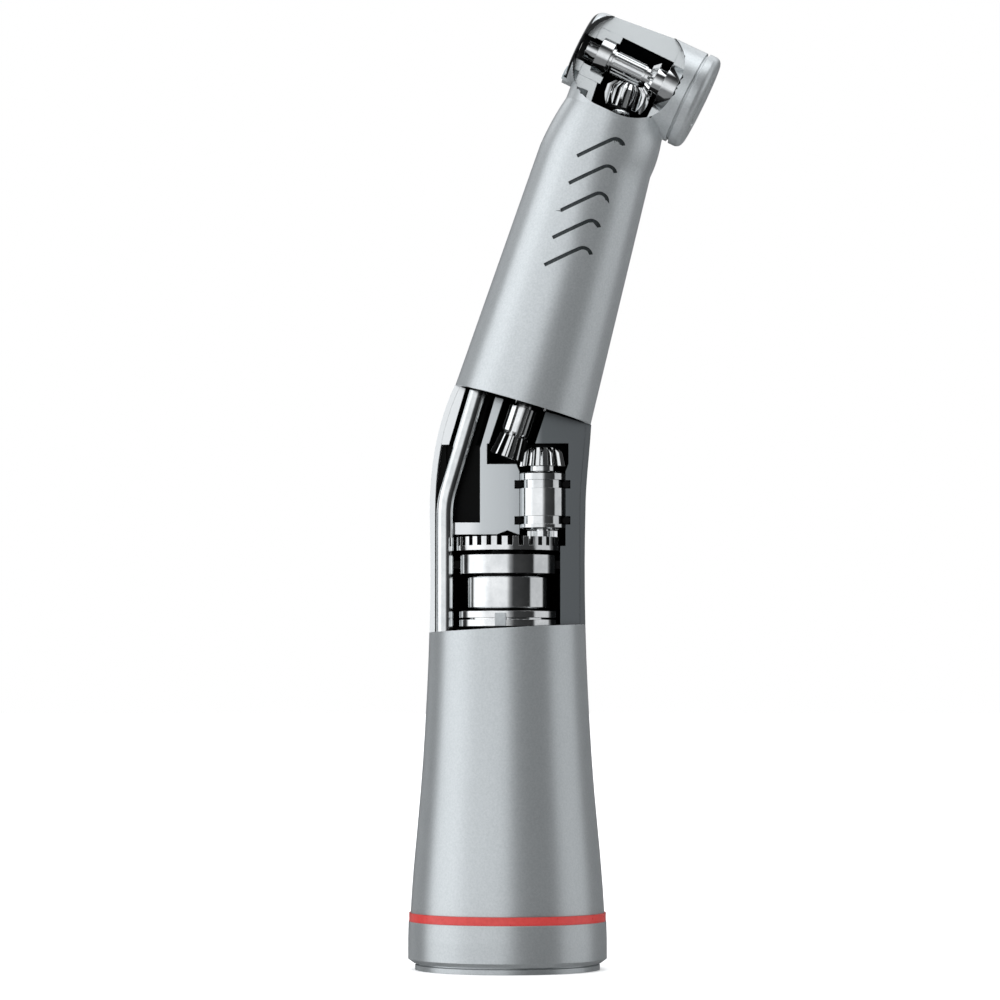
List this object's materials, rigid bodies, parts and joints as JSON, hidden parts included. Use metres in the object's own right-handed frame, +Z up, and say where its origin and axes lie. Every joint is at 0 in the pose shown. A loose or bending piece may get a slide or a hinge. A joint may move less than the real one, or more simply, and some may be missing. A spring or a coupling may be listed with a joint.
{
  "type": "dental high speed contra-angle handpiece",
  "caption": "Sectioned dental contra-angle handpiece: a geared drive runs up a bent handle to a push-button bur head, with a window cut over the gears.",
  "frame": {"origin": "centre of the rear face of the coupling end, on the handle's axis", "axes": "+Z up the handle's axis, +X the way the neck leans, -Y the sectioned side"},
  "size_m": [0.0313, 0.0198, 0.0956],
  "materials": {
    "satin_steel": "fine blasted satin stainless steel",
    "cut_steel": "satin, milled section faces",
    "polished_steel": "ground and polished bearing steel",
    "red_band": "smooth",
    "black_rubber": "smooth seal rubber",
    "ceramic_balls": "polished",
    "light_glass": "clear"
  },
  "bodies": {
    "casing": {"end_collar": "satin_steel", "colour_ring": "red_band", "rear_sleeve": "satin_steel", "coupling_bush": "polished_steel", "coupling_seal": "black_rubber", "core_housing": "cut_steel", "drive_bearing_outer_races": "polished_steel", "drive_bearing_rings": "black_rubber", "cartridge": "polished_steel", "cartridge_orings": "black_rubber", "intermediate_outer_races": "polished_steel", "neck_sleeve": "satin_steel", "neck_core": "cut_steel", "neck_outer_races": "polished_steel", "light_guide": "polished_steel", "light_rod": "light_glass", "light_lens": "light_glass", "water_tube": "polished_steel", "air_tube": "polished_steel", "head_housing": "satin_steel", "head_cap": "satin_steel", "button_spring": "polished_steel", "nose_bush": "cut_steel", "front_bearing_outer_race": "polished_steel", "rear_bearing_outer_race": "polished_steel"},
    "drive": {"drive_shaft": "polished_steel", "ring_gear": "polished_steel", "drive_bearing_inner_races": "polished_steel", "bearing_spacer": "polished_steel", "preload_washer": "polished_steel", "retaining_nut": "polished_steel", "lock_tab": "cut_steel", "driver_spring": "polished_steel", "driver_circlip": "polished_steel"},
    "dog": {"driver_dog": "polished_steel"},
    "drive_ball_sets": {"drive_bearing_balls": "polished_steel"},
    "intermediate": {"intermediate_shaft": "polished_steel", "intermediate_pinion": "polished_steel", "crown_gear": "polished_steel", "intermediate_inner_races": "polished_steel"},
    "intermediate_ball_sets": {"intermediate_balls": "polished_steel"},
    "neck_rotor": {"neck_shaft": "polished_steel", "neck_pinion": "polished_steel", "neck_head_gear": "polished_steel", "neck_inner_races": "polished_steel"},
    "neck_ball_sets": {"neck_balls": "polished_steel"},
    "spindle_rotor": {"spindle": "polished_steel", "spindle_gear": "polished_steel", "collet": "polished_steel", "front_bearing_inner_race": "polished_steel", "rear_bearing_inner_race": "polished_steel"},
    "front_ball_set": {"front_bearing_balls": "ceramic_balls"},
    "rear_ball_set": {"rear_bearing_balls": "ceramic_balls"},
    "button": {"push_button": "satin_steel", "release_pusher": "polished_steel"}
  },
  "joints": [
    {"name": "drive_shaft_spin", "type": "hinge", "parent": "casing", "child": "drive", "pos_m": [0, 0, 0.04], "axis": [0, 0, 1], "continuous": true},
    {"name": "driver_dog_slide", "type": "slide", "parent": "drive", "child": "dog", "axis": [0, 0, 1], "range_m": [0, 0.001], "stiffness_N_per_m": 300, "springref_m": -0.0005, "deforming": ["driver_spring"]},
    {"name": "intermediate_spin", "type": "hinge", "parent": "casing", "child": "intermediate", "pos_m": [0.0035, 0, 0.046], "axis": [0, 0, 1], "continuous": true},
    {"name": "neck_shaft_spin", "type": "hinge", "parent": "casing", "child": "neck_rotor", "pos_m": [0.00626, 0, 0.06999], "axis": [0.3132, 0, 0.9497], "continuous": true},
    {"name": "spindle_spin", "type": "hinge", "parent": "casing", "child": "spindle_rotor", "pos_m": [0.01275, 0, 0.08965], "axis": [-0.8949, 0, 0.4462], "continuous": true},
    {"name": "button_press", "type": "slide", "parent": "casing", "child": "button", "axis": [-0.8949, 0, 0.4462], "range_m": [0, 0.0007], "stiffness_N_per_m": 2500, "springref_m": -0.0003, "deforming": ["button_spring"]},
    {"name": "drive_balls_spin", "type": "hinge", "parent": "casing", "child": "drive_ball_sets", "pos_m": [0, 0, 0.036], "axis": [0, 0, 1], "continuous": true},
    {"name": "intermediate_balls_spin", "type": "hinge", "parent": "casing", "child": "intermediate_ball_sets", "pos_m": [0.0035, 0, 0.046], "axis": [0, 0, 1], "continuous": true},
    {"name": "neck_balls_spin", "type": "hinge", "parent": "casing", "child": "neck_ball_sets", "pos_m": [0.00626, 0, 0.06999], "axis": [0.3132, 0, 0.9497], "continuous": true},
    {"name": "front_balls_spin", "type": "hinge", "parent": "casing", "child": "front_ball_set", "pos_m": [0.0097, 0, 0.09117], "axis": [-0.8949, 0, 0.4462], "continuous": true},
    {"name": "rear_balls_spin", "type": "hinge", "parent": "casing", "child": "rear_ball_set", "pos_m": [0.01624, 0, 0.08791], "axis": [-0.8949, 0, 0.4462], "continuous": true}
  ],
  "couplings": [
    {"joint": "intermediate_spin", "follows": "drive_shaft_spin", "ratio": 3.75},
    {"joint": "neck_shaft_spin", "follows": "drive_shaft_spin", "ratio": -4.5},
    {"joint": "spindle_spin", "follows": "drive_shaft_spin", "ratio": 4.95},
    {"joint": "drive_balls_spin", "follows": "drive_shaft_spin", "ratio": 0.38766},
    {"joint": "intermediate_balls_spin", "follows": "drive_shaft_spin", "ratio": 1.47},
    {"joint": "neck_balls_spin", "follows": "drive_shaft_spin", "ratio": -1.7405},
    {"joint": "front_balls_spin", "follows": "drive_shaft_spin", "ratio": 2.1465},
    {"joint": "rear_balls_spin", "follows": "drive_shaft_spin", "ratio": 1.989}
  ]
}
